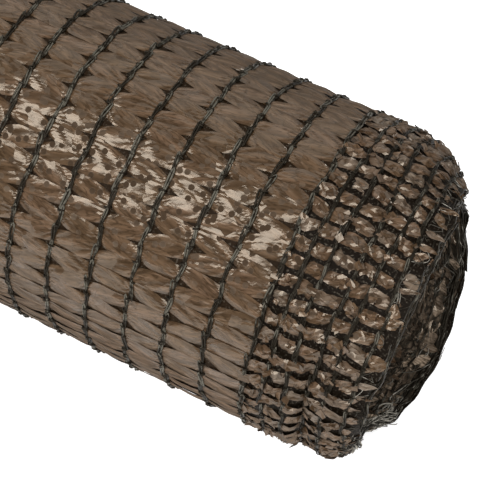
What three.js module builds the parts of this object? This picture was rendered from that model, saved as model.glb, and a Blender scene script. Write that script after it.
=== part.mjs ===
// A length of knitted privacy screen, rolled up on itself: one soft solid of the wound form.
// Millimetres, +Z up. The roll lies along X on a narrow flat on its underside. The origin is the
// middle of the underside. The +X end is uneven, gathered and tucked, and the -X end is plain.
// A place around the roll is an angle in degrees: 0 faces -Y, 90 faces up and 180 faces +Y.
import * as THREE from "three";

// the cloth and the roll
const clothWidth = 750; // from selvedge to selvedge, along the roll
const rollRadius = 37.6;
const turnStep = 0.85; // the cloth's thickness, which is the step at its loose end
const looseEndAt = 214;
const looseEndSpan = 5; // the step is spread over this angle
const ovalRise = 0.35; // the radius is this much more or less along the oval's two diameters
const ovalAt = 25;
const edgeFlare = 0.2; // the closely knitted edge bands wind up fatter
const edgeFlareReach = 40;
const restDepth = 35.75; // the flat that the roll lies on is this far under its axis

// the outer turn at each end
const edgeZone = 24; // the last stretch of cloth, which can curl inwards
const shiftReach = 70; // a shift of the edge fades out over this length

// Around the +X end: how far the edge stops short, and how far its cloth has turned inwards.
const gatheredEnd = [
  { at: 18, short: 0.5, curl: 10 },
  { at: 61, short: 0, curl: 3 },
  { at: 90, short: 1, curl: 8 },
  { at: 114, short: 3.5, curl: 24 },
  { at: 140, short: 5, curl: 44 },
  { at: 164, short: 8, curl: 46 },
  { at: 190, short: 9.5, curl: 26 },
  { at: 218, short: 8, curl: 8 },
  { at: 250, short: 5.8, curl: 4 },
  { at: 278, short: 6.8, curl: 10 },
  { at: 302, short: 7, curl: 30 },
  { at: 325, short: 4, curl: 44 },
  { at: 348, short: 1.5, curl: 32 },
];
const plainEnd = [
  { at: 90, short: 0, curl: 18 },
  { at: 270, short: 1.5, curl: 24 },
];

// A deep fold runs round the front of the +X end, and the cloth past it stands out as a lobe.
// Its section, by the distance back from the edge: the tilt inwards in degrees.
const foldSection = [
  { back: 19, tilt: 0 },
  { back: 17, tilt: 44 },
  { back: 15.4, tilt: 58 },
  { back: 14.6, tilt: -26 },
  { back: 11.5, tilt: -14 },
  { back: 8, tilt: 2 },
  { back: 4, tilt: 12 },
  { back: 0, tilt: 20 },
];
const foldBegins = -78; // below the front, next to the flat
const foldEnds = 40; // on the upper front
const foldFades = 22; // over this angle at both ends
const foldCurlZone = 12; // past the fold only this much of the cloth curls inwards

// The hollow in each end, by the share of the rim's radius: how far it lies in from the rim.
const deepHollow = [
  { across: 0.93, in: 0.6 },
  { across: 0.86, in: 5 },
  { across: 0.6, in: 7.5 },
  { across: 0.3, in: 9 },
  { across: 0.12, in: 13 },
];
const shallowHollow = [
  { across: 0.93, in: 0.5 },
  { across: 0.86, in: 2.5 },
  { across: 0.45, in: 3.5 },
  { across: 0.12, in: 6 },
];

// the mesh
const pointsAround = 60;
const gatheredRows = 22;
const bodyRows = 22;
const plainRows = 7;
const pathStep = 0.25;

const degree = Math.PI / 180;
const turned = (angle) => THREE.MathUtils.euclideanModulo(angle, 360);
const ease = (t) => THREE.MathUtils.smoothstep(t, 0, 1);

// A column of a table of rows around the roll, eased from row to row.
function around(table, column, angle) {
  const gaps = table.map((row) => turned(angle - row.at));
  const here = gaps.indexOf(Math.min(...gaps));
  const next = table[(here + 1) % table.length];
  const span = turned(next.at - table[here].at);
  return THREE.MathUtils.lerp(table[here][column], next[column], ease(gaps[here] / span));
}

// The tilt of the fold's section at a distance back from the edge.
function foldTilt(back) {
  const next = foldSection.findIndex((row) => row.back <= back);
  if (next <= 0) return next === 0 ? 0 : foldSection.at(-1).tilt;
  const [outer, inner] = [foldSection[next - 1], foldSection[next]];
  const share = (outer.back - back) / (outer.back - inner.back);
  return THREE.MathUtils.lerp(outer.tilt, inner.tilt, ease(share));
}

// How strong the fold is at an angle, from 0 to 1.
function foldStrength(angle) {
  const front = turned(angle + 180) - 180;
  return ease((front - foldBegins) / foldFades) * ease((foldEnds - front) / foldFades);
}

// The radius of the outer turn, a given distance back from the nearer edge.
function turnRadius(angle, back) {
  const past = turned(looseEndAt - angle);
  const wound = past < looseEndSpan ? past / looseEndSpan : 1 - past / 360;
  const oval = ovalRise * Math.cos(2 * (angle - ovalAt) * degree);
  return rollRadius - turnStep * (1 - wound) + oval + edgeFlare * Math.exp(-back / edgeFlareReach);
}

// The outer turn near one edge: points by their distance back, with x counted inwards from the edge.
function edgeRows(table, folded, angle, rows) {
  const short = around(table, "short", angle);
  const curl = around(table, "curl", angle);
  const fold = folded ? foldStrength(angle) : 0;
  const found = [];
  let [x, lean, nextBack] = [edgeZone, 0, edgeZone];
  for (let back = edgeZone; back > -pathStep / 2; back -= pathStep) {
    if (back <= nextBack + pathStep / 2) {
      const inwards = short * Math.exp(-back / shiftReach);
      found.push({ x: x + inwards, r: turnRadius(angle, back) - lean });
      nextBack -= edgeZone / rows;
    }
    const curlZone = THREE.MathUtils.lerp(edgeZone, foldCurlZone, fold);
    const curlTilt = curl * ease(1 - back / curlZone);
    const tilt = (curlTilt + fold * foldTilt(back)) * degree;
    x -= pathStep * Math.cos(tilt);
    lean += pathStep * Math.sin(tilt);
  }
  return found;
}

// The rings of the hollow inside one rim. They even out towards the middle.
function hollowRows(hollow, rim, meanX) {
  return hollow.map((row) => ({
    x: THREE.MathUtils.lerp(meanX, rim.x, row.across) + row.in,
    r: rim.r * row.across,
  }));
}

// One line of points along the roll at an angle, from the -X end's middle to the +X end's.
function lineAlong(angle) {
  const plain = edgeRows(plainEnd, false, angle, plainRows);
  const gathered = edgeRows(gatheredEnd, true, angle, gatheredRows);
  const body = [];
  for (let i = 1; i < bodyRows; i++) {
    const back = edgeZone + ((clothWidth - 2 * edgeZone) * i) / bodyRows;
    const plainShift = around(plainEnd, "short", angle) * Math.exp(-back / shiftReach);
    const toGathered = clothWidth - back;
    const gatheredShift = around(gatheredEnd, "short", angle) * Math.exp(-toGathered / shiftReach);
    const r = turnRadius(angle, Math.min(back, toGathered));
    body.push({ x: back + plainShift - gatheredShift, r });
  }
  const meanShort = (table) => table.reduce((sum, row) => sum + row.short, 0) / table.length;
  const shallow = hollowRows(shallowHollow, plain.at(-1), meanShort(plainEnd));
  const deep = hollowRows(deepHollow, gathered.at(-1), meanShort(gatheredEnd));
  const fromPlain = (point) => ({ x: point.x - clothWidth / 2, r: point.r });
  const fromGathered = (point) => ({ x: clothWidth / 2 - point.x, r: point.r });
  return [
    ...shallow.reverse().map(fromPlain),
    ...plain.reverse().map(fromPlain),
    ...body.map(fromPlain),
    ...gathered.map(fromGathered),
    ...deep.map(fromGathered),
  ];
}

// The closed skin of the roll: lines along it joined side by side, with a point at each end's middle.
function rollGeometry() {
  const lines = [];
  for (let j = 0; j < pointsAround; j++) lines.push((360 / pointsAround) * j);
  const points = lines.map((angle) =>
    lineAlong(angle).map(({ x, r }) => {
      const up = Math.max(r * Math.sin(angle * degree), -restDepth);
      return new THREE.Vector3(x, -r * Math.cos(angle * degree), up);
    }),
  );
  const rows = points[0].length;
  const middleOf = (row) =>
    points
      .reduce((sum, line) => sum.add(line[row]), new THREE.Vector3())
      .divideScalar(pointsAround);
  const vertices = [...points.flat(), middleOf(0), middleOf(rows - 1)];
  const [firstMiddle, lastMiddle] = [vertices.length - 2, vertices.length - 1];
  const faces = [];
  for (let j = 0; j < pointsAround; j++) {
    const [here, beside] = [j * rows, ((j + 1) % pointsAround) * rows];
    faces.push([firstMiddle, here, beside]);
    for (let i = 0; i < rows - 1; i++) {
      faces.push([here + i, here + i + 1, beside + i + 1]);
      faces.push([here + i, beside + i + 1, beside + i]);
    }
    faces.push([lastMiddle, beside + rows - 1, here + rows - 1]);
  }
  const geometry = new THREE.BufferGeometry().setFromPoints(vertices);
  geometry.setIndex(faces.flat());
  geometry.computeBoundingBox();
  const middle = geometry.boundingBox.getCenter(new THREE.Vector3());
  geometry.translate(-middle.x, -middle.y, -geometry.boundingBox.min.z);
  geometry.computeVertexNormals();
  return geometry;
}

const tapeCloth = new THREE.MeshStandardMaterial({ color: 0x6b5c4c, roughness: 0.5, metalness: 0 });

const roll = new THREE.Mesh(rollGeometry(), tapeCloth);
roll.name = "mesh_roll";

const model = new THREE.Group();
model.add(roll);

export default model;
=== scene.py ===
import math

import bpy
import numpy as np
from mathutils import Matrix, Vector


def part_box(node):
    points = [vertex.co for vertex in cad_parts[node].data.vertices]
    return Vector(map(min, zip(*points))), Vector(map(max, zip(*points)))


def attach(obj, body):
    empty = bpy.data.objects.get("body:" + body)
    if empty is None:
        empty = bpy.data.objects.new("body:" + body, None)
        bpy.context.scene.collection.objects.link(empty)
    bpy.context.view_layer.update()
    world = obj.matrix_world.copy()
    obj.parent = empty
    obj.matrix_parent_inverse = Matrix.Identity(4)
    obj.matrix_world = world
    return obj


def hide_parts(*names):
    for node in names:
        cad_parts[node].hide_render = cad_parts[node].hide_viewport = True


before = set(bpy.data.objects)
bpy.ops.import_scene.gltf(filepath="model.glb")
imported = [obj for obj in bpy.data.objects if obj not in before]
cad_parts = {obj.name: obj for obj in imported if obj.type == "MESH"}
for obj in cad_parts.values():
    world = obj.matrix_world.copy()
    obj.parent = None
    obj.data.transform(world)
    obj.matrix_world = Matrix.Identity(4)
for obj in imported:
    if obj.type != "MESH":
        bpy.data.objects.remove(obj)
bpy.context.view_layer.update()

mm = 0.001

roll = {
    "clothWidth": 750 * mm,
    "clothLength": 5.0,
    "radius": 37.6 * mm,
    "turnStep": 0.85 * mm,  # each turn inwards is smaller by this
    "turns": 35,
    "coursesAround": 56,
    "looseEndAt": 214,
    "ovalRise": 0.35 * mm,
    "ovalAt": 25,
    "edgeFlare": 0.2 * mm,
    "edgeFlareReach": 40 * mm,
    "restDepth": 35.75 * mm,  # from the axis down to the flat that it rests on
    "edgeZone": 24 * mm,  # the shaped part of the cloth along each edge
    "foldCurlZone": 12 * mm,
    "shiftReach": 70 * mm,
    "recessReach": 60 * mm,
    "foldBegins": -78,
    "foldEnds": 40,
    "foldFades": 22,
    "foldBottom": 15.2 * mm,  # back from the edge
    "foldShadow": 1.3 * mm,
    "foldDarkness": 0.8,
    # the band of dull spots is set round the roll where the key light glints on the tape
    "rubAt": 57,  # the middle of the band where the gloss is rubbed off in spots
    "rubReach": 27,
    "rubFades": 21,
}
course = 360 / roll["coursesAround"]  # one stitch, in degrees
stitch = 4.17 * mm  # and its length on the outer turn

# Around each end: the angle, how far the edge stops short in mm, and how far its cloth has
# turned inwards in degrees.
gatheredEnd = np.array([
    [18, 0.5, 10], [61, 0, 3], [90, 1, 8], [114, 3.5, 24], [140, 5, 44], [164, 8, 46],
    [190, 9.5, 26], [218, 8, 8], [250, 5.8, 4], [278, 6.8, 10], [302, 7, 30], [325, 4, 44],
    [348, 1.5, 32],
])
plainEnd = np.array([[90, 0, 18], [270, 1.5, 24]])
# The deep fold at the front of the gathered end: the distance back in mm and the tilt in degrees.
foldSection = np.array([
    [0, 20], [4, 12], [8, 2], [11.5, -14], [14.6, -26], [15.4, 58], [17, 44], [19, 0],
])
# How far the inner turns stand back: the share of the outer turn's radius, and mm.
deepHollow = np.array([[0.12, 13], [0.3, 9], [0.6, 7.5], [0.86, 5.5], [0.935, 5], [0.95, 0.8], [1, 0]])
shallowHollow = np.array([[0.12, 6], [0.45, 3.5], [0.86, 2.5], [0.93, 0.5], [1, 0]])

pathStep = 0.25 * mm
edgeSteps = 96  # from the edge zone's inner side to the edge
stepsPast = 16  # and on past the edge, for ragged ends
edgeBacks = np.arange(edgeSteps, -stepsPast - 1, -1) * pathStep


# smoothstep: 3t^2 - 2t^3 between 0 and 1
def ease(t):
    t = np.clip(t, 0, 1)
    return t * t * (3 - 2 * t)


# values at rising places, eased from one to the next by smoothstep
def easedRows(places, values, where):
    i = np.clip(np.searchsorted(places, where, side="right") - 1, 0, len(places) - 2)
    share = (where - places[i]) / (places[i + 1] - places[i])
    return values[i] + (values[i + 1] - values[i]) * ease(share)


# a column of a table of rows round the roll, eased and periodic over 360 degrees
def around(rows, column, angle):
    places = np.concatenate([rows[:, 0] - 360, rows[:, 0], rows[:, 0] + 360])
    return easedRows(places, np.tile(rows[:, column], 3).astype(float), np.mod(angle, 360))


# 1 along the front between the fold's two ends, easing to 0 past them
def foldStrength(angle):
    front = np.mod(angle + 180, 360) - 180
    rising = ease((front - roll["foldBegins"]) / roll["foldFades"])
    return rising * ease((roll["foldEnds"] - front) / roll["foldFades"])


# the shadow down in the fold: a bell curve of the distance from its bottom, along the cloth
def foldShade(back, angle):
    away = (back - roll["foldBottom"]) / roll["foldShadow"]
    return roll["foldDarkness"] * foldStrength(angle) * np.exp(-away ** 2)


# The outer turn near one edge, for each distance back and each whole degree: x inwards from the
# edge, lean towards the axis, and tilt. The section's tilt is summed in short steps along the
# cloth: x falls by step cos tilt and lean grows by step sin tilt.
def edgeProfile(rows, folded):
    angle = np.arange(361.0)[None, :]
    back = edgeBacks[:, None]
    fold = foldStrength(angle) * folded
    curlZone = roll["edgeZone"] + (roll["foldCurlZone"] - roll["edgeZone"]) * fold
    curl = around(rows, 2, angle) * ease(1 - back / curlZone)
    tilt = np.radians(curl + fold * easedRows(foldSection[:, 0] * mm, foldSection[:, 1], back))
    stepIn, stepDown = pathStep * np.cos(tilt), pathStep * np.sin(tilt)
    x = roll["edgeZone"] - (np.cumsum(stepIn, axis=0) - stepIn)
    lean = np.cumsum(stepDown, axis=0) - stepDown
    short = around(rows, 1, angle) * mm
    return np.stack([x + short * np.exp(-back / roll["shiftReach"]), lean, tilt], axis=-1)


ends = []
for rows, folded, hollow in ((gatheredEnd, 1, deepHollow), (plainEnd, 0, shallowHollow)):
    profile = edgeProfile(rows, folded)
    ends.append({
        "rows": rows,
        "profile": profile,
        "rimX": profile[edgeSteps, :, 0],
        "meanShort": rows[:, 1].mean() * mm,
        "hollow": hollow,
    })


# The cloth of one end at a distance back: x from the edge, lean and tilt. An inner turn's cloth
# is pushed back by the hollow's depth at its share of the radius, fading out along the roll.
def endShape(end, back, theta, share):
    rim = np.interp(theta, np.arange(361.0), end["rimX"])
    recess = np.interp(share, end["hollow"][:, 0], end["hollow"][:, 1] * mm)
    recess = recess + (1 - share) * (end["meanShort"] - rim)
    moved = back + recess * np.exp(-np.maximum(back, 0) / roll["recessReach"])
    row = np.clip((roll["edgeZone"] - moved) / pathStep, 0, len(edgeBacks) - 1.001)
    i, j = row.astype(int), np.minimum(theta.astype(int), 359)
    fi, fj = (row - i)[..., None], (theta - j)[..., None]
    table = end["profile"]
    near = table[i, j] * (1 - fj) + table[i, j + 1] * fj
    far = table[i + 1, j] * (1 - fj) + table[i + 1, j + 1] * fj
    shape = near * (1 - fi) + far * fi
    inBody = moved > roll["edgeZone"]
    short = around(end["rows"], 1, theta) * mm
    x = np.where(inBody, moved + short * np.exp(-moved / roll["shiftReach"]), shape[..., 0])
    return x, np.where(inBody, 0, shape[..., 1]), np.where(inBody, 0, shape[..., 2])


# The radius at an angle of the winding: it falls by one step a turn.
def woundRadius(angle):
    return roll["radius"] - roll["turnStep"] * (roll["looseEndAt"] - angle) / 360


# The angle of a course, by its number from the loose end.
def angleOf(number):
    return roll["looseEndAt"] - number * course


# A point of the wound cloth. Its section has a slight oval and a flare at the edges; inner turns
# are the outer one's section, shrunk towards the axis. The lift is at right angles to the section,
# and the underside stops at the flat that the roll lies on.
def clothPoint(back, angle, lift=0.0):
    back, angle, lift = np.broadcast_arrays(*(np.asarray(a, float) for a in (back, angle, lift)))
    theta = np.mod(angle, 360)
    outer = roll["radius"] - roll["turnStep"] * np.mod(roll["looseEndAt"] - theta, 360) / 360
    share = woundRadius(angle) / outer
    share = np.where(share > 0.9999, 1, share)
    fromPlain = roll["clothWidth"] - back
    gathered = back < roll["clothWidth"] / 2
    edgeBack = np.where(gathered, back, fromPlain)
    x0, lean0, tilt0 = endShape(ends[0], edgeBack, theta, share)
    x1, lean1, tilt1 = endShape(ends[1], edgeBack, theta, share)
    x = np.where(gathered, roll["clothWidth"] / 2 - x0, x1 - roll["clothWidth"] / 2)
    lean, tilt = np.where(gathered, lean0, lean1), np.where(gathered, tilt0, tilt1)
    oval = roll["ovalRise"] * np.cos(2 * np.radians(theta - roll["ovalAt"]))
    flare = roll["edgeFlare"] * np.exp(-np.maximum(edgeBack, 0) / roll["edgeFlareReach"])
    radius = (outer + oval + flare - lean) * share + lift * np.cos(tilt)
    x = x + np.where(gathered, 1, -1) * lift * np.sin(tilt)
    turn = np.radians(theta)
    floor = -(roll["restDepth"] * share + np.minimum(lift, 0))
    up = np.maximum(radius * np.sin(turn), floor)
    return np.stack([x, -radius * np.cos(turn), up], axis=-1)


# The CAD solid is centred on its own box, so the cloth is moved by the same amount.
sample = clothPoint(np.linspace(0, 1, 1501)[:, None] * roll["clothWidth"], np.arange(-144, 216, 6))
low, high = (np.array(corner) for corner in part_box("mesh_roll"))
offset = (low + high) / 2 - (sample.min((0, 1)) + sample.max((0, 1))) / 2
offset[2] = low[2] + roll["restDepth"]
print("cloth moved by", offset)


# The quads of many equal grids of points. A wrapped direction joins its last line to its first.
def gridQuads(count, rows, columns, wrapRows=False, wrapColumns=False):
    r0, c0 = np.meshgrid(
        np.arange(rows if wrapRows else rows - 1),
        np.arange(columns if wrapColumns else columns - 1),
        indexing="ij",
    )
    r1, c1 = (r0 + 1) % rows, (c0 + 1) % columns
    corners = [r0 * columns + c0, r1 * columns + c0, r1 * columns + c1, r0 * columns + c1]
    one = np.stack(corners, axis=-1).reshape(-1, 4)
    return (one[None] + (np.arange(count) * rows * columns)[:, None, None]).reshape(-1, 4)


# A mesh of quads on the cloth, with a uv in mm and named values at its points. Nothing of it
# reaches under the surface that the roll lies on.
def putMesh(name, points, quads, material, uv=None, smooth=True, **values):
    mesh = bpy.data.meshes.new(name)
    points = points.reshape(-1, 3) + offset
    points[:, 2] = np.maximum(points[:, 2], 0)
    mesh.vertices.add(len(points))
    mesh.vertices.foreach_set("co", points.astype(np.float32).ravel())
    mesh.loops.add(quads.size)
    mesh.loops.foreach_set("vertex_index", quads.astype(np.int32).ravel())
    mesh.polygons.add(len(quads))
    mesh.polygons.foreach_set("loop_start", np.arange(0, quads.size, 4, dtype=np.int32))
    mesh.update(calc_edges=True)
    mesh.polygons.foreach_set("use_smooth", np.full(len(quads), smooth))
    if uv is not None:
        layer = mesh.uv_layers.new(name="cloth")
        layer.data.foreach_set("uv", uv.reshape(-1, 2)[quads.ravel()].astype(np.float32).ravel())
    for key, value in values.items():
        attribute = mesh.attributes.new(key, "FLOAT", "POINT")
        attribute.data.foreach_set("value", value.astype(np.float32).ravel())
    mesh.materials.append(material)
    piece = bpy.data.objects.new(name, mesh)
    bpy.context.scene.collection.objects.link(piece)
    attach(piece, "root")
    print(name, 2 * len(quads), "triangles")
    return piece


# Tubes along paths on the cloth. At each path point a ring of radius thickness stands in the
# plane of the cloth's normal and the sideways direction, which is normal x tangent.
def tubesOnCloth(back, angle, lift, thickness, sides, closed):
    back, angle, lift = np.broadcast_arrays(back, angle, lift)
    centre = clothPoint(back, angle, lift)
    normal = clothPoint(back, angle, lift + 0.2 * mm) - clothPoint(back, angle, lift - 0.2 * mm)
    if closed:
        tangent = np.roll(centre, -1, axis=1) - np.roll(centre, 1, axis=1)
    else:
        tangent = np.gradient(centre, axis=1)
    tangent /= np.linalg.norm(tangent, axis=-1, keepdims=True) + 1e-12
    normal -= (normal * tangent).sum(-1, keepdims=True) * tangent
    normal /= np.linalg.norm(normal, axis=-1, keepdims=True) + 1e-12
    side = np.cross(normal, tangent)
    ring = np.arange(sides) / sides * 2 * math.pi
    thickness = np.broadcast_to(thickness, back.shape)[..., None, None]
    spokes = np.cos(ring)[:, None] * normal[..., None, :] + np.sin(ring)[:, None] * side[..., None, :]
    points = centre[..., None, :] + thickness * spokes
    count, steps = back.shape
    quads = gridQuads(count, steps, sides, wrapRows=closed, wrapColumns=True)
    return points, quads


# A value that varies over the surface. Arithmetic on it adds Math nodes.
class Value:
    def __init__(self, finish, socket):
        self.finish, self.socket = finish, socket

    def combine(self, operation, first, second=0.0):
        return self.finish.node("ShaderNodeMath", {"operation": operation}, {0: first, 1: second})

    def __add__(self, other):
        return self.combine("ADD", self, other)

    def __radd__(self, other):
        return self.combine("ADD", other, self)

    def __sub__(self, other):
        return self.combine("SUBTRACT", self, other)

    def __rsub__(self, other):
        return self.combine("SUBTRACT", other, self)

    def __mul__(self, other):
        return self.combine("MULTIPLY", self, other)

    def __rmul__(self, other):
        return self.combine("MULTIPLY", other, self)

    def __gt__(self, other):
        return self.combine("GREATER_THAN", self, other)

    def __abs__(self):
        return self.combine("ABSOLUTE", self)

    # how far it stands above a level, or below it, times a gain
    def above(self, level, gain):
        return (self - level) * gain

    def below(self, level, gain):
        return (level - self) * gain

    def clamped(self):
        return self.finish.node("ShaderNodeClamp", None, {0: self})

    def atLeast(self, other):
        return self.combine("MAXIMUM", self, other)


# A material whose nodes all come from one method: a node's type, its settings, then its sockets.
class Finish:
    def __init__(self, name, **constants):
        self.material = bpy.data.materials.new(name)
        self.material.use_nodes = True
        self.tree = self.material.node_tree
        self.shader = self.tree.nodes["Principled BSDF"]
        for socket, value in constants.items():
            self.shader.inputs[socket.replace("_", " ")].default_value = value

    def node(self, kind, settings=None, sockets=None, output=0):
        made = self.tree.nodes.new(kind)
        for key, value in (settings or {}).items():
            if key == "stops":
                for place, (at, colour) in enumerate(value):
                    elements = made.color_ramp.elements
                    stop = elements[place] if place < 2 else elements.new(at)
                    stop.position, stop.color = at, (*colour, 1)
            else:
                setattr(made, key, value)
        for key, value in (sockets or {}).items():
            self.feed(made.inputs[key], value)
        return Value(self, made.outputs[output])

    def feed(self, socket, value):
        if isinstance(value, Value):
            self.tree.links.new(value.socket, socket)
        elif hasattr(value, "__len__") and len(value) == 3 and socket.type == "RGBA":
            socket.default_value = (*value, 1)
        else:
            socket.default_value = value

    def set(self, **sockets):
        for socket, value in sockets.items():
            self.feed(self.shader.inputs[socket.replace("_", " ")], value)

    def mixColour(self, factor, first, second):
        return self.node("ShaderNodeMix", {"data_type": "RGBA"}, {0: factor, 6: first, 7: second}, 2)

    def attribute(self, name):
        return self.node("ShaderNodeAttribute", {"attribute_name": name}, output="Fac")

    def vector(self, operation, first, second, output=0):
        sockets = {0: first, 1: second}
        return self.node("ShaderNodeVectorMath", {"operation": operation}, sockets, output)

    def stretched(self, place, scale):
        return self.node("ShaderNodeMapping", None, {"Vector": place, "Scale": scale})

    def noise(self, place, scale, detail):
        sockets = {"Vector": place, "Scale": scale, "Detail": detail}
        return self.node("ShaderNodeTexNoise", None, sockets)

    def cells(self, place, scale, randomness, output=0):
        sockets = {"Vector": place, "Scale": scale, "Randomness": randomness}
        return self.node("ShaderNodeTexVoronoi", {"voronoi_dimensions": "2D"}, sockets, output)

    def bump(self, height, strength, distance):
        sockets = {"Height": height, "Strength": strength, "Distance": distance}
        return self.node("ShaderNodeBump", None, sockets)


# The flat tape. Its uv is in mm, along and across the tape. shade is drawn once for each run, fold
# is 0 in the valleys of the creases and 1 on their ridges, and the rub-and-shade value is 1 in the
# band of dull spots, where the gloss is worn and the colour is painted darker. As fold falls, the
# tape is painted towards a shade colour: painted shade in the crease valleys, at the run ends, along
# the gap edges and down in the deep fold.
def tapeFinish():
    look = {
        # the top stop is reached only by pieces in the shaded hollow, with shades past 1.4; their pale
        # colour there is painted light
        "tints": [
            (0.0, (0.076, 0.046, 0.025)),
            (1.0, (0.40, 0.31, 0.225)),
            (0.15, (0.082, 0.049, 0.027)),
            (0.28, (0.088, 0.052, 0.029)),
            (0.4, (0.094, 0.056, 0.032)),
            (0.5, (0.100, 0.060, 0.036)),
            (0.58, (0.102, 0.070, 0.048)),
            (0.68, (0.122, 0.094, 0.070)),
        ],
        # the colour of the painted shade in creases, at run ends and in the deep fold
        "paintedShade": (0.026, 0.014, 0.006),
        "streak": (0.045, 0.029, 0.016),
        "paleStreak": (0.142, 0.094, 0.061),
        "streakSize": (0.18, 1.6, 1),  # all sizes are repeats for each mm, along and across
        "darkStreaks": (0.47, 3.2),  # where in its noise a mask begins, and how steeply it rises
        "paleStreaks": (0.46, 2.4),
        "blotchSize": 0.35,
        "blotches": (0.47, 1.6),
        "lineSize": (0.22, 1.15, 1),
        "lineSharpness": 14.0,
        "lineStrength": 0.85,
        "lined": (0.37, 8.0),
        "facetSize": (0.23, 0.36, 1),
        "facetSlope": (0.15, 0.29),
        "spotSize": 0.31,
        "spots": (0.23, 30.0),
        "spotColour": (0.024, 0.013, 0.006),
        "spotStrength": 0.9,
        "roughness": 0.19,
        "spotRoughness": 0.8,
        "seenEdgeOn": (0.35, 2.6),
    }
    finish = Finish("tapeFilm", Specular_IOR_Level=0.5, Specular_Tint=(1.0, 0.87, 0.71, 1))
    uv = finish.node("ShaderNodeUVMap", {"uv_map": "cloth"})
    shade = finish.attribute("shade") * 0.5  # the ramp's stops stand at half the shade
    tint = finish.node("ShaderNodeValToRGB", {"stops": look["tints"]}, {0: shade})
    streaks = finish.noise(finish.stretched(uv, look["streakSize"]), 1.0, 3.0)
    blotches = finish.noise(uv, look["blotchSize"], 2.0)
    # creases: thin lines where a stretched noise crosses its middle, painted in the shade colour as the
    # shade in fine creases
    wander = finish.noise(finish.stretched(uv, look["lineSize"]), 1.0, 1.0)
    lines = (1.0 - abs(wander - 0.5) * look["lineSharpness"]).atLeast(0.0)
    slits = lines * blotches.above(*look["lined"]).clamped()
    colour = finish.mixColour(streaks.above(*look["darkStreaks"]), tint, look["streak"])
    colour = finish.mixColour(streaks.below(*look["paleStreaks"]), colour, look["paleStreak"])
    colour = finish.mixColour(slits * look["lineStrength"], colour, look["paintedShade"])
    colour = finish.mixColour(blotches.below(*look["blotches"]), colour, look["tints"][0][1])
    # painted shade: the tape darkens towards the shade colour as fold falls
    colour = finish.mixColour(finish.attribute("fold") * 1.15 + 0.05, look["paintedShade"], colour)
    # each cell of a Voronoi pattern is a small plane with its own slope, drawn from its colour
    cellSpace = finish.stretched(uv, look["facetSize"])
    colourOf = finish.cells(cellSpace, 1.0, 0.9, "Color")
    placeOf = finish.cells(cellSpace, 1.0, 0.9, "Position")
    local = finish.vector("SUBTRACT", cellSpace, placeOf)
    slope = finish.vector("SUBTRACT", colourOf, (0.5, 0.5, 0.5))
    steepness = tuple(s / size for s, size in zip(look["facetSlope"], look["facetSize"]))
    slope = finish.vector("MULTIPLY", slope, (*steepness, 0))
    facets = finish.vector("DOT_PRODUCT", local, slope, "Value")
    # round dull spots, where the gloss is rubbed away; their darker colour is painted shade that
    # offsets the paler haze of their rougher gloss
    away = finish.cells(uv, look["spotSize"], 1.0)
    dull = away.below(*look["spots"]).clamped() * finish.attribute("rub")
    colour = finish.mixColour(dull * look["spotStrength"], colour, look["spotColour"])
    # the gloss fades where the tape is seen edge on
    edgeOn = finish.node("ShaderNodeLayerWeight", None, {"Blend": 0.5}, "Facing")
    faded = edgeOn.above(*look["seenEdgeOn"]).clamped()
    roughness = look["roughness"] + dull * look["spotRoughness"] + faded
    finish.set(Base_Color=colour, Roughness=roughness, Normal=finish.bump(facets, 1.0, mm))
    return finish.material


# Thread, mottled by noise and its own shade between its colour and a paler, worn one.
def threadFinish(name, colour, worn, roughness):
    look = {"grainSize": 700.0, "grain": (0.52, 5.0), "shade": (0.5, 2.2), "relief": 0.25 * mm}
    finish = Finish(
        name, Roughness=roughness, Specular_IOR_Level=0.2, Specular_Tint=(1.0, 0.86, 0.72, 1),
    )
    place = finish.node("ShaderNodeTexCoord", output="Object")
    grain = finish.noise(place, look["grainSize"], 3.0)
    wear = grain.above(*look["grain"]) + finish.attribute("shade").above(*look["shade"])
    bump = finish.bump(grain, 0.8, look["relief"])
    finish.set(Base_Color=finish.mixColour(wear, colour, worn), Normal=bump)
    return finish.material


# The cloth under the outer turn's tape. Its uv is back and the length wound in mm. Its shade is 0
# where only gaps show it: there it is painted near black, darker still in the selvedges, as painted
# shade down in the gaps. It is 1 on the turns seen in the hollow ends, where its knit is painted
# pale as painted light in the shaded hollow.
def underFinish():
    look = {
        # painted shade: near black where the gaps show the cloth, darker still in the selvedges
        "gapShadeBody": (0.013, 0.007, 0.003),
        "gapShadeEdge": (0.005, 0.003, 0.0015),
        "thread": (0.075, 0.063, 0.047),
        "dark": (0.022, 0.018, 0.013),
        # painted light: the knit of the turns in the shaded hollow is painted pale
        "tape": (0.19, 0.14, 0.098),
        "edgeFrom": 346.0,  # mm from the cloth's middle line
        "knitSize": 0.5,
        "knit": (0.45, 3.0),
        "bitSize": 1.8,
        "bits": (0.56, 5.0),
        "relief": 0.5 * mm,
    }
    finish = Finish("knitBehind", Roughness=0.6, Specular_IOR_Level=0.05)
    uv = finish.node("ShaderNodeUVMap", {"uv_map": "cloth"})
    split = finish.node("ShaderNodeSeparateXYZ", None, {0: uv})
    inEdge = abs(split - roll["clothWidth"] / 2 / mm) > look["edgeFrom"]
    behind = finish.mixColour(inEdge, look["gapShadeBody"], look["gapShadeEdge"])
    mottle = finish.noise(uv, look["knitSize"], 2.0)
    knit = finish.mixColour(mottle.above(*look["knit"]), look["dark"], look["tape"])
    bits = finish.noise(uv, look["bitSize"], 2.0)
    behind = finish.mixColour(bits.above(*look["bits"]), behind, look["thread"])
    bump = finish.bump(mottle, 0.8, look["relief"])
    finish.set(Base_Color=finish.mixColour(finish.attribute("shade"), behind, knit), Normal=bump)
    return finish.material


tapeFilm = tapeFinish()
blackThread = threadFinish("blackThread", (0.010, 0.008, 0.005), (0.086, 0.080, 0.063), 0.55)
edgeThread = threadFinish("edgeThread", (0.060, 0.055, 0.045), (0.29, 0.27, 0.23), 0.5)
knitBehind = underFinish()
print("materials made")

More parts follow.
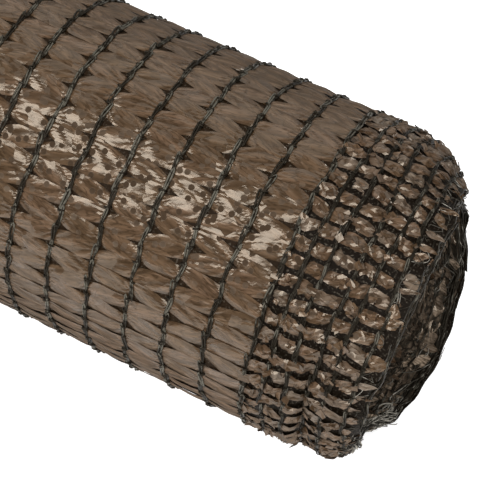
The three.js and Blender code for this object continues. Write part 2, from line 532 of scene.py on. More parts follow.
# Where the lines of chain stitches lie: close together in the two selvedges.
selvedgeChains = np.array([4.6, 9.4, 14.3, 19.6, 24.3, 29.3]) * mm
bodyPanels = 69
firstBody, lastBody = selvedgeChains[-1], roll["clothWidth"] - selvedgeChains[-1]
bodyChains = np.linspace(firstBody, lastBody, bodyPanels + 1)
chainBacks = np.concatenate([
    selvedgeChains[:-1], bodyChains, roll["clothWidth"] - selvedgeChains[:-1][::-1],
])
draws = np.random.default_rng(525)
wanderPhase = draws.uniform(0, 2 * math.pi, (len(chainBacks), 3))


# Draws one number for each of count pieces, with as many more axes as their grids have.
def drawsFor(count, axes):
    return lambda low, high: draws.uniform(low, high, (count,) + (1,) * axes)


# u from 0 to 1 and v from -1 to 1 over a piece's cells.
def cellPlaces(cells):
    u = np.linspace(0, 1, cells[0] + 1)[None, :, None]
    return u, np.linspace(-1, 1, cells[1] + 1)[None, None, :]


# A number between -1 and 1 for every point of count pieces.
def jitter(count, cells):
    return draws.uniform(-1, 1, (count, cells[0] + 1, cells[1] + 1))


# The uv of each run, in mm, moved to its own place in the tape's pattern, so no two look alike.
def tapeUv(along, across):
    places, placeStep = 400, 1.37
    uv = np.stack(np.broadcast_arrays(along, across), axis=-1) / mm
    return uv + draws.integers(-places, places, (len(uv), 1, 1, 2)) * placeStep


# Puts many runs of tape in place, with their values at every point.
def putTape(name, back, angle, lift, cells, uv, flipped=False, **values):
    points = clothPoint(back, angle, lift)
    quads = gridQuads(len(points), cells[0] + 1, cells[1] + 1)
    if flipped:
        quads = quads[:, ::-1]
    values = {key: np.broadcast_to(value, points.shape[:-1]) for key, value in values.items()}
    piece = putMesh(name, points, quads, tapeFilm, uv, smooth=False, **values)
    return piece


# Puts many threads in place, as tubes with a shade at each point of their paths.
def putThread(name, path, thickness, sides, shade, closed=False, material=blackThread):
    points, quads = tubesOnCloth(*path, thickness, sides, closed)
    shade = np.repeat(np.broadcast_to(shade, points.shape[:2]), sides, axis=1)
    piece = putMesh(name, points, quads, material, shade=shade)
    return piece


# The closely knitted bands along both edges of the cloth.
def inSelvedge(index):
    return (index < len(selvedgeChains) - 1) | (index > len(chainBacks) - len(selvedgeChains))


# How thick a chain's threads lie: the stitches of the selvedges are drawn tighter.
def slimness(index):
    return np.where(inSelvedge(index), 0.64, 1.0)


# A chain's distance back at an angle: its own place plus three slow waves round the roll.
def chainBack(index, angle):
    turn = np.radians(angle)
    phase = wanderPhase[index]
    loose = np.where(inSelvedge(index), 1.9, 1)
    wave = 0.22 * np.sin(2 * turn + phase[..., 0]) + 0.18 * np.sin(5 * turn + phase[..., 1])
    return chainBacks[index] + (wave + 0.16 * np.sin(13 * turn + phase[..., 2])) * loose * mm


# A triangle wave of height -1 to 1, once for each whole t.
def creased(t):
    return np.abs(np.mod(t, 1) - 0.5) * 4 - 1


# A weight of 1 at each of count even places, falling straight to 0 at its neighbours.
def hats(count, at):
    return np.clip(1 - np.abs(np.arange(count) - at.ravel()[:, None] * (count - 1)), 0, 1)


# The tape's runs: one for each course of each panel between two chains. u is 0 at the chain on
# the -X side and 1 on the +X side, and v is -1 to 1 across. The run's two edges are straight,
# except that one is cut back near each chain, alternately above and below, as a power of
# 1 - u / reach, which leaves the gap between two turns of the zigzag. Its height is a low puff
# between the chains, a slope across it, dents, and creases, which are triangle waves along the
# zigzag's two directions. Runs inside face the axis.
def layTape(name, panels, courses, look, cells, inside=False):
    panel, number = (a.ravel() for a in np.meshgrid(panels, courses, indexing="ij"))
    count = len(panel)
    pick = drawsFor(count, 2)
    side = np.where(number % 2 == 0, 1.0, -1.0)[:, None, None]
    u, v = cellPlaces(cells)
    across = v * side  # 1 on the edge that is cut back at the first chain
    power = look["gapPower"]
    opening = pick(*look["opening"]) * np.clip(1 - u / pick(*look["openingReach"]), 0, 1) ** power
    slit = pick(*look["slit"]) * np.clip(1 - (1 - u) / pick(*look["slitReach"]), 0, 1) ** power
    middle = np.sin(math.pi * u) ** look["middlePower"]
    fromEnd = np.minimum(u, 1 - u)
    waist = 1 - look["waist"] * (1 - ease(fromEnd / look["waistReach"]))
    upper = waist * (look["width"] / 2 + pick(*look["over"]) * middle - opening)
    lower = waist * (look["width"] / 2 + pick(*look["over"]) * middle - slit)
    y = side * np.where(across > 0, across * upper, across * lower)
    y = y + look["bend"] * pick(-1, 1) * middle + look["skew"] * pick(-1, 1) * (2 * u - 1)
    y = y + look["jitter"] * jitter(count, cells)
    angle = angleOf(number[:, None, None] + 0.5 - y / stitch)
    left = chainBack(panel + 1, angle.mean((1, 2)))[:, None, None] + pick(*look["past"])
    right = chainBack(panel, angle.mean((1, 2)))[:, None, None] - pick(*look["past"])
    length = left - right
    back = left - length * u
    x = (u - 0.5) * length
    pillow = 1 - look["fall"] * np.abs(v) ** look["fallPower"]
    height = look["puff"] * pick(0.6, 1.3) * middle * pillow
    height = height + look["shingle"] * v * (1 + pick(-1.2, 0.8)) * middle
    height = height + look["twist"] * pick(-1, 1) * v * (2 * u - 1)
    relief = 0
    for wave in look["creases"]:
        lean = np.radians(side * wave["lean"] + pick(-wave["spread"], wave["spread"]))
        travelled = y * np.cos(lean) - x * np.sin(lean)
        rise = creased(travelled / pick(*wave["length"]) + pick(0, 1))
        height = height + wave["height"] * pick(0.4, 1.2) * rise * middle ** 0.5
        relief = relief + wave["share"] * rise
    height = height + look["crumple"] * jitter(count, cells)
    rows, columns = look["dentGrid"]
    dents = draws.uniform(-1, 1, (count, rows, columns))
    height = height + look["dents"] * (hats(rows, u) @ dents @ hats(columns, (v + 1) / 2).T) * middle
    # fans: creases that spread from the stitch that holds each end of the run
    for start, direction in ((-0.5, -1), (0.5, 1)):
        fromX = (x - start * length) * -direction + look["fanStart"]
        fromY = y - direction * side * look["width"] * look["fanAside"]
        spread = np.arctan2(fromY, fromX)
        fade = np.exp(-fromX / look["fanReach"])
        rise = creased(spread * look["fanCount"] + pick(0, 1))
        height = height + look["fan"] * fade * rise
        relief = relief + look["fanShare"] * fade * rise
    height = height + pick(*look["endLift"]) * (1 - u) ** 2 + pick(*look["endLift"]) * u ** 2
    # the edges are drawn down where the gaps open beside the stitches
    gap = np.where(across > 0, opening / look["opening"][1], slit / look["slit"][1])
    height = height - look["tuck"] * gap * v ** 2
    # fold sets the painted shade: darker in the crease valleys and fans, and at the run ends where the
    # tape goes under the chains
    ends = ease(fromEnd / look["endShadow"])
    fold = np.clip(look["foldMiddle"] + look["foldDepth"] * relief, 0, 1)
    fold = fold * (1 - look["endDarkness"] * (1 - ends))
    # the shadow in the gap runs on as a thin line along the edge, from each chain to mid-run
    thin, runs = look["lineWidth"], look["lineReach"]
    line = (1 - ease((1 - across) / thin)) * (1 - ease(u / pick(*runs)))
    line = line + (1 - ease((1 + across) / thin)) * (1 - ease((1 - u) / pick(*runs)))
    fold = fold * (1 - look["edgeLine"] * np.clip(line, 0, 1)) * (1 - foldShade(back, angle))
    height = look["lift"] + (-height if inside else height)
    lie = np.radians(side * look["lie"])
    uv = tapeUv(x * np.cos(lie) + y * np.sin(lie), y * np.cos(lie) - x * np.sin(lie))
    shade = pick(*look["shade"])
    # the band of dull spots and their painted shade, set round the roll where the key light glints
    fromRub = np.abs(np.mod(angle, 360) - roll["rubAt"])
    rub = np.clip((roll["rubReach"] - fromRub) / roll["rubFades"], 0, 1)
    return putTape(name, back, angle, height, cells, uv, inside, shade=shade, fold=fold, rub=rub)


# Folds of tape that stand up from the gathered runs between the selvedge's chains: small flaps,
# turned, tilted and crumpled at random.
def layFlaps(name, panels, each, look, cells):
    panel, number = (np.repeat(a.ravel(), each) for a in np.meshgrid(panels, courses, indexing="ij"))
    count = len(panel)
    pick = drawsFor(count, 2)
    u, v = cellPlaces(cells)
    a, b = pick(*look["length"]) * (u - 0.5), pick(*look["width"]) * v / 2
    b = b * (1 + look["taper"] * pick(-1, 1) * (2 * u - 1))
    turn = pick(*look["turn"])
    across, along = a * np.cos(turn) - b * np.sin(turn), a * np.sin(turn) + b * np.cos(turn)
    angle = angleOf(number[:, None, None] + pick(*look["place"]) + along / stitch)
    share = pick(0, 1)
    middle = chainBack(panel, angle.mean((1, 2))), chainBack(panel + 1, angle.mean((1, 2)))
    back = middle[0][:, None, None] * (1 - share) + middle[1][:, None, None] * share - across
    lift = pick(*look["lift"]) + pick(-1, 1) * look["tilt"] * a + pick(-1, 1) * look["tilt"] * b
    lift = lift + look["crumple"] * jitter(count, cells)
    uv = tapeUv(a, b)
    shade = pick(*look["shade"])
    fold = pick(*look["fold"])
    return putTape(name, back, angle, lift, cells, uv, shade=shade, fold=fold)


bodyTape = {
    "width": stitch + 0.15 * mm,
    "opening": (0.7 * mm, 1.6 * mm),  # how far each edge is cut back, and for what part of the run
    "openingReach": (0.26, 0.6),
    "slit": (0.5 * mm, 1.4 * mm),
    "slitReach": (0.3, 0.72),
    "gapPower": 1.3,
    "tuck": 0.42 * mm,
    "waist": 0.0,  # the part of the width that is drawn in at both ends
    "waistReach": 0.1,
    "over": (0.0 * mm, 0.2 * mm),
    "bend": 0.12 * mm,
    "skew": 0.2 * mm,
    "jitter": 0.02 * mm,
    "middlePower": 0.6,
    "puff": 0.33 * mm,
    "fall": 0.3,
    "fallPower": 2.5,
    "shingle": 0.1 * mm,
    "twist": 0.14 * mm,
    "lift": 0.12 * mm,
    "past": (-0.1 * mm, 0.1 * mm),
    "endLift": (-0.12 * mm, 0.06 * mm),
    "lie": 15,  # degrees from the roll's axis
    "dents": 0.05 * mm,
    "dentGrid": (5, 4),
    "crumple": 0.006 * mm,
    "creases": [
        {"lean": 16, "spread": 12, "length": (2.0 * mm, 4.4 * mm), "height": 0.045 * mm, "share": 0.66},
        {"lean": -60, "spread": 30, "length": (6.0 * mm, 9.0 * mm), "height": 0.09 * mm, "share": 0.0},
    ],
    "fan": 0.14 * mm,
    "fanStart": 1.2 * mm,
    "fanReach": 2.8 * mm,
    "fanCount": 2.8,
    "fanAside": 0.35,
    "fanShare": 1.3,
    "foldMiddle": 0.66,  # fold on the flat, and its change from there to a ridge or a valley
    "foldDepth": 0.62,
    "endShadow": 0.09,
    "endDarkness": 0.65,
    "edgeLine": 0.9,
    "lineWidth": 0.3,
    "lineReach": (0.35, 0.75),
    "shade": (0, 1),
}
selvedgeTape = dict(
    bodyTape,
    width=stitch * 0.82,
    opening=(0.0 * mm, 0.7 * mm),
    openingReach=(0.3, 0.9),
    slit=(0.0 * mm, 0.7 * mm),
    slitReach=(0.3, 0.9),
    edgeLine=0.4,
    waist=0.16,
    waistReach=0.1,
    over=(-0.35 * mm, 0.05 * mm),
    bend=0.3 * mm,
    skew=0.55 * mm,
    jitter=0.13 * mm,
    puff=0.5 * mm,
    fall=0.6,
    shingle=0.25 * mm,
    twist=0.55 * mm,
    lift=-0.05 * mm,
    past=(-0.55 * mm, 0.15 * mm),
    endLift=(-0.4 * mm, 0.5 * mm),
    dents=0.15 * mm,
    crumple=0.2 * mm,
    creases=[
        {"lean": 20, "spread": 35, "length": (1.6 * mm, 3.0 * mm), "height": 0.22 * mm, "share": 0.5},
        {"lean": 80, "spread": 40, "length": (1.8 * mm, 3.6 * mm), "height": 0.25 * mm, "share": 0.5},
    ],
    fan=0.12 * mm,
    fanReach=1.4 * mm,
    endShadow=0.2,
    shade=(0.7, 1.36),
)
# runs on the inner face of the hollow's far wall; their pale shades are painted light
innerTape = dict(selvedgeTape, lift=-0.95 * mm, shade=(1.6, 2.26))  # on the cloth's inner side

flap = {
    "length": (1.0 * mm, 2.6 * mm),
    "width": (0.8 * mm, 1.7 * mm),
    "taper": 0.5,
    "turn": (-0.8, 0.8),  # radians
    "place": (0.3, 0.7),  # along the stitch, as a share of it
    "lift": (0.2 * mm, 0.85 * mm),
    "tilt": 0.5,
    "crumple": 0.12 * mm,
    "shade": (0, 1.1),
    "fold": (0.15, 0.9),
}
courses = np.arange(roll["coursesAround"])
edgePanels = len(selvedgeChains) - 1
nearPanels = 15
nearBody = np.arange(edgePanels, edgePanels + 10)
middleBody = np.arange(edgePanels + 10, edgePanels + nearPanels)
farBody = np.arange(edgePanels + nearPanels, edgePanels + bodyPanels)
plainPanels = np.arange(edgePanels + bodyPanels, 2 * edgePanels + bodyPanels)
secondTurn = courses + 2 * roll["coursesAround"]

pieces = [
    layTape("bodyTapeNear", nearBody, courses, bodyTape, (18, 9)),
    layTape("bodyTapeMiddle", middleBody, courses, bodyTape, (10, 5)),
    layTape("bodyTapeFar", farBody, courses, bodyTape, (5, 3)),
    layTape("selvedgeTape", np.arange(edgePanels), courses, selvedgeTape, (5, 4)),
    layFlaps("selvedgeFlaps", np.arange(edgePanels), 2, flap, (2, 2)),
    layTape("plainSelvedgeTape", plainPanels, courses, selvedgeTape, (6, 4)),
    layFlaps("plainFlaps", plainPanels, 1, flap, (2, 2)),
    layTape("innerSelvedgeTape", np.arange(2), secondTurn, innerTape, (5, 4), inside=True),
]


# Each stitch is a closed loop of thread: back goes as sin t and the place along the chain as
# -cos t, wider towards its head, and the head rides up over the root of the next stitch. The
# loops sway from side to side in turn and lean.
def layChains(name, chains, look, steps, sides, numbers=courses, inside=False):
    chain, number = (a.ravel() for a in np.meshgrid(chains, numbers, indexing="ij"))
    pick = drawsFor(len(chain), 1)
    t = (np.arange(steps) / steps * 2 * math.pi)[None, :]
    middle = angleOf(number + 0.5)
    along = -np.cos(t) * look["length"] / 2 * pick(0.9, 1.1) + look["slip"] * pick(-1, 1)
    angle = middle[:, None] + along / stitch * course
    slim = slimness(chain)[:, None]
    wide = look["width"] / 2 * pick(0.7, 1.3) * slim * (look["root"] - look["head"] * np.cos(t))
    sway = np.where(number % 2 == 0, 1, -1)[:, None] * look["sway"] * pick(0.3, 1.2) * slim
    lean = look["lean"] * pick(-1, 1)
    back = chainBack(chain, middle)[:, None] + wide * np.sin(t) + sway + along * lean
    lift = look["lift"] - look["rise"] * np.cos(t) + look["uneven"] * pick(-1, 1)
    if inside:
        lift = -lift
    thick = look["thickness"] * pick(0.8, 1.2) * slim
    shade = pick(*look["shade"]) * np.where(inSelvedge(chain), look["edgeShade"], 1)[:, None]
    shade = np.clip(shade - look["headShade"] * np.cos(t), 0, 1)
    return putThread(name, (back, angle, lift), thick, sides, shade, closed=True)


# The thread laid in through each chain: it swings from side to side as a sine of two stitches,
# and rises and falls as a sine of one and a half.
def layInlays(name, chains, look, steps):
    pick = drawsFor(len(chains), 1)
    number = np.linspace(0, roll["coursesAround"], steps)[None, :]
    angle = angleOf(number)
    swing = np.sin(math.pi * (number + pick(0, 2))) * (0.75 + 0.25 * np.sin(number * 0.7 + pick(0, 6)))
    slim = slimness(chains)[:, None]
    back = chainBack(chains[:, None], angle) + look["swing"] * slim * swing
    lift = look["lift"] + look["rise"] * np.sin(2 * math.pi * number / 1.5 + pick(0, 6))
    shade = 0.4 + 0.4 * np.sin(number * 1.9 + pick(0, 6))
    return putThread(name, (back, angle, lift), look["thickness"] * slim, 3, shade)


# A turn of thread that draws the legs of each stitch together: an oval ring round the chain,
# across by cos t and up by sin t, whose two sides stand a little apart along the chain.
def layWraps(name, chains, look, steps):
    chain, number = (a.ravel() for a in np.meshgrid(chains, courses, indexing="ij"))
    pick = drawsFor(len(chain), 1)
    t = (np.arange(steps) / steps * 2 * math.pi)[None, :]
    middle = angleOf(number)
    along = look["slip"] * pick(-1, 1) + look["slant"] * pick(-1, 1) * np.cos(t)
    angle = middle[:, None] + along / stitch * course
    slim = slimness(chain)[:, None]
    back = chainBack(chain, middle)[:, None] + look["across"] * slim * pick(0.7, 1.3) * np.cos(t)
    back = back + look["aside"] * pick(-1, 1)
    lift = look["lift"] + look["high"] * pick(0.8, 1.3) * np.sin(t)
    return putThread(name, (back, angle, lift), look["thickness"] * slim, 3, 0.0, closed=True)


# A narrow strip of laid-in thread under each chain, from the loose end right round, which falls
# straight from its crown to both sides.
def layChainBacks(name, chains, look):
    chain = chains[:, None, None]
    ends = roll["looseEndAt"] - 360, roll["looseEndAt"]
    angle = np.linspace(*ends, look["stations"])[None, None, :]
    side = np.array([1, 0, -1])[None, :, None]
    back = chainBack(chain, angle) + look["half"] * side
    points = clothPoint(back, angle, look["crown"] - look["fall"] * np.abs(side))
    shade = np.zeros(points.shape[:-1])
    quads = gridQuads(len(chains), 3, look["stations"])
    piece = putMesh(name, points, quads, blackThread, shade=shade)
    return piece


chainStitch = {
    "length": 5.3 * mm,
    "width": 0.78 * mm,
    "sway": 0.25 * mm,
    "lift": 0.34 * mm,
    "rise": 0.15 * mm,
    "uneven": 0.12 * mm,
    "slip": 0.3 * mm,  # along the chain
    "lean": 0.2,
    "root": 0.78,  # the loop's half width as a share, and what its head adds to that
    "head": 0.38,
    "thickness": 0.22 * mm,
    "shade": (0.1, 1.1),
    "edgeShade": 0.65,
    "headShade": 0.42,
}
innerStitch = dict(chainStitch, lift=1.24 * mm)  # measured on the cloth's inner side
inlay = {"swing": 0.5 * mm, "lift": 0.34 * mm, "rise": 0.15 * mm, "thickness": 0.15 * mm}
chainWrap = {
    "across": 0.58 * mm,
    "high": 0.38 * mm,
    "lift": 0.3 * mm,
    "slip": 0.5 * mm,
    "slant": 0.5 * mm,
    "aside": 0.2 * mm,
    "thickness": 0.3 * mm,
}
chainStrip = {"stations": 113, "half": 0.42 * mm, "crown": 0.28 * mm, "fall": 0.22 * mm}
nearChains = np.arange(0, edgePanels + nearPanels + 1)
farChains = np.arange(edgePanels + nearPanels + 1, len(chainBacks))
pieces += [
    layChains("chainStitches", nearChains, chainStitch, 10, 4),
    layWraps("chainWraps", nearChains, chainWrap, 7),
    layInlays("chainInlays", nearChains, inlay, 5 * roll["coursesAround"]),
    layChains("chainStitchesFar", farChains, chainStitch, 5, 3),
    layChains("innerChains", np.arange(3), innerStitch, 6, 3, secondTurn, inside=True),
    layChainBacks("chainBacks", np.arange(len(chainBacks)), chainStrip),
]


# The angle that a length along the cloth takes up at a place in the winding, and the place's own
# angle: a course is as long on every turn, so it takes a wider angle further in.
def alongCloth(length, number):
    angle = angleOf(number + 0.5)
    return angle + np.degrees(length / woundRadius(angle))


# The tape's last turns past the outermost chain. u is 0 at the chain and 1 at the tip, which is
# cut off at a slant; the half width goes as 0.5 + 0.5 sin(3 u), and the tip lifts or droops.
def layLeaves(name, plain, numbers, look, cells):
    count = len(numbers)
    pick = drawsFor(count, 2)
    u, v = cellPlaces(cells)
    reach = pick(*look["reach"]) * (1 + look["slant"] * pick(-1, 1) * v)
    half = pick(*look["half"]) * (0.5 + 0.5 * np.sin(3 * u))
    y = v * half + look["drift"] * pick(-1, 1) * u + look["slip"] * pick(-1, 1)
    angle = alongCloth(y, numbers[:, None, None])
    edge = np.maximum(selvedgeChains[0] - reach * u, 0)
    back = roll["clothWidth"] - edge if plain else edge
    lift = look["lift"] + pick(*look["tip"]) * u ** 1.5 + look["arch"] * np.sin(math.pi * u)
    lift = lift + look["twist"] * pick(-1, 1) * v * u
    lift = lift + look["crumple"] * jitter(count, cells)
    uv = tapeUv(reach * u, y)
    shade = pick(*look["shade"])
    fold = 0.45 + 0.5 * ease(u / look["rootShadow"])
    return putTape(name, back, angle, lift, cells, uv, plain, shade=shade, fold=fold)


# The thread's loops past the outermost chain: half waves out towards the edge and back.
def layEdgeLoops(name, plain, numbers, look, steps, material=blackThread):
    pick = drawsFor(len(numbers), 1)
    t = np.linspace(0, 1, steps)[None, :]
    reach = pick(*look["reach"])
    edge = selvedgeChains[0] - reach * np.sin(math.pi * t) ** look["blunt"]
    y = (t - 0.5) * pick(*look["span"]) + look["drift"] * pick(-1, 1) * np.sin(math.pi * t)
    angle = alongCloth(y, numbers[:, None])
    lift = look["rootLift"] + pick(*look["lift"]) * np.sin(math.pi * t)
    back = roll["clothWidth"] - edge if plain else edge
    thick, shade = look["thickness"] * pick(0.7, 1.3), pick(0, 1)
    return putThread(name, (back, angle, lift), thick, 3, shade, material=material)


# Loose lengths of thread that run round with the edges of the outer turns and wander to and fro
# across them: a slant, and sines of the length along, of about one and three stitches. at gives
# the part of each turn on which they begin.
def layRimThreads(name, plain, look, material=blackThread):
    count = look["count"]
    pick = drawsFor(count, 1)
    along = pick(*look["stitches"]) * np.linspace(0, 1, look["steps"])[None, :]
    turn = draws.integers(0, look["turns"], (count, 1)) + pick(*look["at"])
    number = turn * roll["coursesAround"] + along

    def wave(period, size):
        return pick(0.3, 1) * size * np.sin(2 * math.pi * (along / period + pick(0, 1)))

    edge = pick(*look["back"]) + wave(1.2, look["wander"] / 2) + wave(2.9, look["wander"])
    edge = edge + pick(-1, 1) * look["slant"] * np.linspace(-1, 1, look["steps"])[None, :]
    edge = np.maximum(edge, -look["pastEdge"])
    lift = pick(*look["rise"]) + wave(1.7, look["lift"]) + wave(4.3, look["lift"])
    back = roll["clothWidth"] - edge if plain else edge
    angle = angleOf(number)
    thick = look["thickness"] * pick(0.7, 1.3)
    shade = look["shade"] + 0.3 * wave(1.4, 1) + 0.3 * wave(3.7, 1)
    return putThread(name, (back, angle, lift), thick, 3, shade, material=material)


# The numbers of the courses down through every turn, from the cloth's length wound: on turn n
# the courses keep their length, so fewer fit round.
def windingNumbers(first, last, every):
    number, found = first, []
    while number < last:
        found.append(number)
        number += every * math.degrees(stitch / woundRadius(angleOf(number))) / course
    return np.array(found)


oneTurn = roll["coursesAround"]
allTurns = roll["turns"] * oneTurn
leaf = {
    "reach": (1.8 * mm, 4.2 * mm),
    "half": (0.7 * mm, 1.7 * mm),
    "slant": 0.45,
    "drift": 1.4 * mm,
    "slip": 0.8 * mm,
    "lift": 0.15 * mm,
    "tip": (-1.2 * mm, 0.35 * mm),
    "arch": 0.25 * mm,
    "twist": 0.7 * mm,
    "crumple": 0.12 * mm,
    "rootShadow": 0.4,
    "shade": (0, 1.4),
}
# leaves on the hollow's wall and further in, with pale shades that are painted light in the shaded
# hollow
wallLeaf = dict(
    leaf, half=(0.9 * mm, 2.0 * mm), lift=-0.8 * mm, tip=(-2.0 * mm, 0.3 * mm), shade=(1.3, 2.1),
)
hollowLeaf = dict(leaf, lift=-0.1 * mm, tip=(-3.2 * mm, 0.2 * mm), shade=(0.9, 2.1))
edgeLoop = {
    "reach": (1.0 * mm, 5.0 * mm),
    "span": (2.0 * mm, 7.0 * mm),
    "drift": 1.8 * mm,
    "blunt": 0.7,  # the power of the half wave
    "rootLift": 0.2 * mm,
    "lift": (-1.2 * mm, 0.3 * mm),
    "thickness": 0.11 * mm,
}
paleLoop = dict(
    edgeLoop, reach=(1.2 * mm, 4.2 * mm), span=(0.8 * mm, 5.0 * mm), lift=(-2.0 * mm, 0.3 * mm),
    thickness=0.09 * mm,
)
rimThread = {
    "count": 240,
    "steps": 18,
    "stitches": (0.7, 4),
    "turns": 4,
    "at": (0, 1),
    "back": (0.3 * mm, 4.6 * mm),
    "pastEdge": 0.3 * mm,  # the furthest out that a thread wanders
    "slant": 2.4 * mm,
    "wander": 0.6 * mm,
    "rise": (-1.5 * mm, 0.2 * mm),
    "lift": 0.5 * mm,
    "thickness": 0.11 * mm,
    "shade": 0.4,
}
rimTangle = dict(
    rimThread,
    count=230,
    stitches=(1.5, 4),
    turns=2,
    at=(0.60, 0.80),
    back=(0.4 * mm, 4.4 * mm),
    slant=1.4 * mm,
    wander=1.1 * mm,
    lift=0.7 * mm,
    rise=(-2.2 * mm, -0.2 * mm),
    thickness=0.18 * mm,
    shade=0.85,
)
rimCord = dict(
    rimThread,
    count=44,
    steps=36,
    stitches=(4, 20),
    turns=3,
    back=(0.1 * mm, 1.8 * mm),
    slant=0.5 * mm,
    wander=0.3 * mm,
    rise=(-0.9 * mm, 0.1 * mm),
    lift=0.2 * mm,
    thickness=0.24 * mm,
)
plainRimThread = dict(rimCord, count=40)
pieces += [
    layLeaves("edgeLeaves", False, windingNumbers(0, oneTurn * 2, 0.9), leaf, (6, 4)),
    layLeaves("wallLeaves", False, windingNumbers(oneTurn * 2, oneTurn * 3.2, 0.75), wallLeaf, (6, 4)),
    layLeaves("hollowLeaves", False, windingNumbers(oneTurn * 3, oneTurn * 9, 1.2), hollowLeaf, (4, 3)),
    layLeaves("innerLeaves", False, windingNumbers(oneTurn * 9, allTurns, 2), hollowLeaf, (3, 2)),
    layLeaves("plainLeaves", True, windingNumbers(0, allTurns, 2), leaf, (3, 2)),
    layEdgeLoops("edgeLoops", False, windingNumbers(0, oneTurn * 7, 1), edgeLoop, 8),
    layEdgeLoops("paleLoops", False, windingNumbers(0.4, oneTurn * 5, 0.8), paleLoop, 9, edgeThread),
    layEdgeLoops("innerLoops", False, windingNumbers(oneTurn * 7, allTurns, 1), edgeLoop, 6),
    layEdgeLoops("plainLoops", True, windingNumbers(0, allTurns, 1.5), edgeLoop, 6),
    layRimThreads("rimThreads", False, rimThread, edgeThread),
    layRimThreads("rimTangle", False, rimTangle, edgeThread),
    layRimThreads("rimCords", False, rimCord),
    layRimThreads("plainRimThreads", True, plainRimThread),
]


# The wound cloth itself, just under the outer turn's tape and right through to the middle. The
# length wound on n turns is 2 pi (radius n - turnStep n^2 / 2).
def windCloth(look):
    back = np.concatenate([look["gatheredBacks"], look["bodyBacks"], look["plainBacks"]])
    back = back[::-1, None] * mm
    outer, fine, coarse = look["fineTurns"], look["fineStations"], look["coarseStations"]
    inner = np.linspace(roll["turns"], outer, (roll["turns"] - outer) * coarse, endpoint=False)
    turns = np.concatenate([inner, np.linspace(outer, 0, outer * fine + 1)])[None, :]
    angle = roll["looseEndAt"] - 360 * turns
    # past the outermost chain the cloth is only loops and ends, so its edges are ragged there
    number = turns * roll["coursesAround"]
    wave = 0.3 * np.sin(0.9 * number) + 0.25 * np.sin(2.6 * number)
    front = 0.5 + 0.5 * np.cos(np.radians(angle - look["shortAt"]))
    ragged = wave - 0.3 + look["short"] * front + look["innerShort"] * ease(turns - 1.5)
    toEdge = np.minimum(back, roll["clothWidth"] - back)
    ragged = ragged * mm * np.clip(1 - toEdge / look["raggedReach"], 0, 1)
    back = back + np.where(back < roll["clothWidth"] / 2, ragged, -ragged)
    points = clothPoint(back, angle, look["lift"])
    woundLength = 2 * math.pi * (roll["radius"] * turns - roll["turnStep"] * turns ** 2 / 2)
    uv = np.stack(np.broadcast_arrays(back / mm, woundLength / mm), axis=-1)
    # shade is 0 on the outer turns, painted near black as the shade in the gaps, and 1 further in,
    # where the knit is painted pale as light in the shaded hollow
    shade = np.broadcast_to(ease(turns - look["innerShadeAt"]), points.shape[:-1])
    quads = gridQuads(1, *points.shape[:2])
    piece = putMesh("woundCloth", points, quads, knitBehind, uv, shade=shade)
    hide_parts("mesh_roll")
    return piece


woundSheet = {
    "gatheredBacks": [*range(24), 25, 29, 36, 48],  # in mm
    "bodyBacks": np.linspace(70, 690, 12),
    "plainBacks": [714, 726, 732, 738, 742, 745, 747.5, 750],
    "fineTurns": 2,
    "fineStations": 120,  # for each of the two outer turns
    "coarseStations": 20,  # for each turn further in
    "raggedReach": 5 * mm,
    "shortAt": 45,
    "short": 1.3,  # in mm, at the front
    "innerShort": 2.2,
    "innerShadeAt": 1.2,  # turns in
    "lift": -0.17 * mm,
}
woundCloth = windCloth(woundSheet)


# The floor is pale paper, lit from below as well, as on a light table.
def makeStage():
    floor = bpy.data.meshes.new("floor")
    floor.from_pydata([(-4, -4, 0), (4, -4, 0), (4, 4, 0), (-4, 4, 0)], [], [(0, 1, 2, 3)])
    stage = bpy.data.objects.new("floor", floor)
    bpy.context.scene.collection.objects.link(stage)
    paper = Finish(
        "palePaper", Base_Color=(0.85, 0.85, 0.85, 1), Roughness=0.8,
        Emission_Color=(1, 1, 1, 1), Emission_Strength=0.5,
    )
    floor.materials.append(paper.material)
    return stage


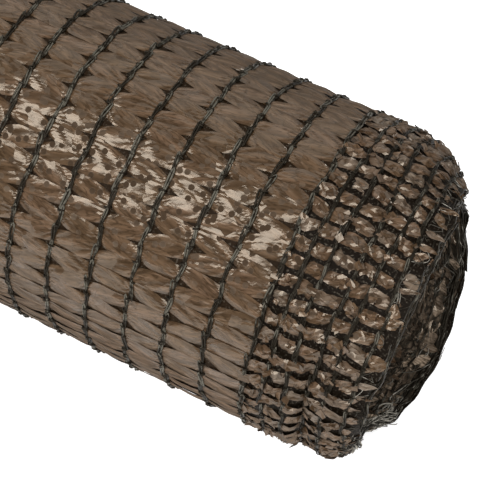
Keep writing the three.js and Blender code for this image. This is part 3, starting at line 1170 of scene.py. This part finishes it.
# A softbox that faces the target, its long side as near along X as that allows.
def addLight(name, place, target, size, power):
    data = bpy.data.lights.new(name, "AREA")
    data.shape, data.size, data.size_y, data.energy = "RECTANGLE", *size, power
    light = bpy.data.objects.new(name, data)
    backwards = (Vector(place) - Vector(target)).normalized()
    along = (Vector((1, 0, 0)) - backwards * backwards.x).normalized()
    turn = Matrix((along, backwards.cross(along), backwards)).transposed()
    light.matrix_world = Matrix.Translation(place) @ turn.to_4x4()
    bpy.context.scene.collection.objects.link(light)
    return light


view = {
    "azimuth": 29.72,  # degrees round from the front, towards +X
    "elevation": 53.5,
    "lens": 166,
    "pastEdge": 104.8 * mm,  # along X from the cloth's edge
    "inFront": 270.2 * mm,  # of the roll's axis
    "above": 416.3 * mm,  # the roll's axis
}
camera = bpy.data.objects.new("camera", bpy.data.cameras.new("camera"))
camera.data.lens, camera.data.sensor_width = view["lens"], 36
camera.location = (
    roll["clothWidth"] / 2 + offset[0] + view["pastEdge"],
    offset[1] - view["inFront"],
    offset[2] + view["above"],
)
camera.rotation_euler = (math.radians(90 - view["elevation"]), 0, math.radians(view["azimuth"]))
bpy.context.scene.collection.objects.link(camera)
bpy.context.scene.camera = camera

floorPiece = makeStage()
softboxes = {  # place, target, size and power
    "keyBox": ((-0.08, -0.42, 0.80), (0.26, -0.02, 0.07), (0.56, 0.32), 6.0),
    "backBox": ((-0.3, 0.9, 1.1), (0.26, -0.02, 0.07), (1.7, 1.2), 7.5),
    "crownBox": ((0.457, 0.607, 0.405), (0.36, 0, 0.07), (0.12, 0.12), 0.6),
    "endBox": ((1.3, -0.5, 0.9), (0.37, 0, 0.04), (0.8, 0.8), 6),
    "sparkBox": ((0.55, -0.54, 0.74), (0.36, -0.02, 0.07), (0.46, 0.46), 6.4),
}
for name, box in softboxes.items():
    addLight(name, *box)
world = bpy.data.worlds.new("studio")
world.use_nodes = True
world.node_tree.nodes["Background"].inputs["Color"].default_value = (1, 1, 1, 1)
world.node_tree.nodes["Background"].inputs["Strength"].default_value = 0.17
bpy.context.scene.world = world
bpy.context.scene.view_settings.view_transform = "Standard"

print("lit by", len(softboxes), "softboxes")
